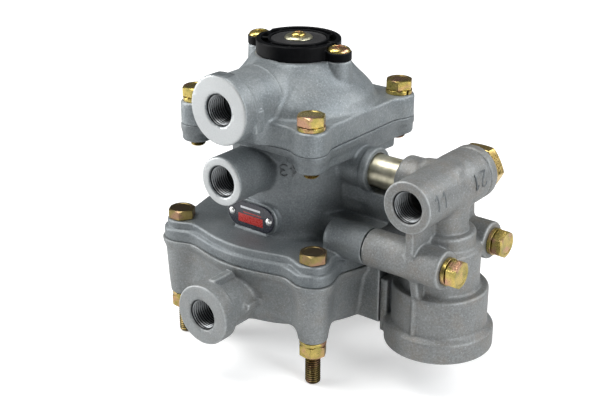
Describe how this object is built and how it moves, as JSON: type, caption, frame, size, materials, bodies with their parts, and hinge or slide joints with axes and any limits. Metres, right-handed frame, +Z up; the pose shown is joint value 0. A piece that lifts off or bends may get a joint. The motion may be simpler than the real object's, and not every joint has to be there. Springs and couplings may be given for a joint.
{
  "type": "trailer brake control valve",
  "caption": "Stacked die-cast air valve with threaded control ports, a vented cap, long mounting studs and a bolted-on shut-off valve, with sliding pistons and a relay valve inside.",
  "frame": {"origin": "on the axis of the main stack, at the flat underside of the base housing", "axes": "+Z up along the stack towards the vent cap, +X towards the bolted-on shut-off valve, -Y the side of the threaded control ports"},
  "size_m": [0.1758, 0.1368, 0.1683],
  "materials": {
    "cast_aluminium": "die-cast, fine blasted grain, bright machined port faces",
    "machined_aluminium": "turned",
    "zinc_plated": "yellow passivated zinc plate",
    "brass": "turned",
    "turned_steel": "turned",
    "spring_steel": "drawn wire",
    "black_plastic": "moulded, satin",
    "black_rubber": "matt",
    "label": "printed black with a red block"
  },
  "bodies": {
    "housing": {"base_housing": "cast_aluminium", "cap_centre_screw": "zinc_plated", "cap_ear_screw_left": "zinc_plated", "cap_ear_screw_right": "zinc_plated", "cap_washer": "zinc_plated", "connecting_sleeve": "turned_steel", "cover_bolt_front_left": "zinc_plated", "cover_bolt_front_right": "zinc_plated", "cover_bolt_rear_left": "zinc_plated", "cover_bolt_rear_right": "zinc_plated", "cover_bolt_washer_front_left": "zinc_plated", "cover_bolt_washer_front_right": "zinc_plated", "cover_bolt_washer_rear_left": "zinc_plated", "cover_bolt_washer_rear_right": "zinc_plated", "exhaust_flap": "black_rubber", "flange_bolt_front_left": "zinc_plated", "flange_bolt_front_right": "zinc_plated", "flange_bolt_rear_left": "zinc_plated", "flange_bolt_rear_right": "zinc_plated", "label_plate": "label", "label_rivet_left": "turned_steel", "label_rivet_right": "turned_steel", "middle_body": "cast_aluminium", "port_21_plug": "brass", "port_21_seal_ring": "brass", "relay_valve_guide": "machined_aluminium", "relay_valve_spring": "spring_steel", "service_piston_spring": "spring_steel", "shutoff_body": "cast_aluminium", "shutoff_closing_plate": "machined_aluminium", "shutoff_snap_ring": "spring_steel", "shutoff_spring": "spring_steel", "side_bolt_front": "zinc_plated", "side_bolt_rear": "zinc_plated", "side_bolt_washer_front": "zinc_plated", "side_bolt_washer_rear": "zinc_plated", "side_joint_gasket": "black_rubber", "sleeve_seal_inner": "black_rubber", "sleeve_seal_outer": "black_rubber", "stud_nut_front_left": "zinc_plated", "stud_nut_front_right": "zinc_plated", "stud_nut_rear_left": "zinc_plated", "stud_nut_rear_right": "zinc_plated", "stud_washer_front_left": "zinc_plated", "stud_washer_front_right": "zinc_plated", "stud_washer_rear_left": "zinc_plated", "stud_washer_rear_right": "zinc_plated", "top_cover": "cast_aluminium", "vent_cap": "black_plastic"},
    "service_piston": {"service_piston": "machined_aluminium", "service_piston_seal": "black_rubber"},
    "relay_valve": {"relay_valve": "turned_steel"},
    "hand_brake_piston": {"hand_brake_piston": "machined_aluminium", "hand_brake_piston_seal": "black_rubber"},
    "control_piston": {"control_piston": "machined_aluminium", "control_piston_seal": "black_rubber"},
    "shutoff_piston": {"shutoff_piston": "machined_aluminium", "shutoff_piston_seal": "black_rubber"}
  },
  "joints": [
    {"name": "service_piston_slide", "type": "slide", "parent": "housing", "child": "service_piston", "axis": [0, 0, 1], "range_m": [0, 0.0025], "deforming": ["service_piston_spring"]},
    {"name": "relay_valve_slide", "type": "slide", "parent": "housing", "child": "relay_valve", "axis": [0, 0, 1], "range_m": [0, 0.0025], "deforming": ["relay_valve_spring"]},
    {"name": "hand_brake_piston_slide", "type": "slide", "parent": "housing", "child": "hand_brake_piston", "axis": [0, 0, 1], "range_m": [-0.0025, 0]},
    {"name": "control_piston_slide", "type": "slide", "parent": "housing", "child": "control_piston", "axis": [0, 0, 1], "range_m": [-0.0025, 0]},
    {"name": "shutoff_piston_slide", "type": "slide", "parent": "housing", "child": "shutoff_piston", "axis": [0, 0, 1], "range_m": [-0.004, 0], "deforming": ["shutoff_spring"]}
  ],
  "couplings": [
    {"joint": "relay_valve_slide", "follows": "service_piston_slide", "ratio": 1}
  ]
}
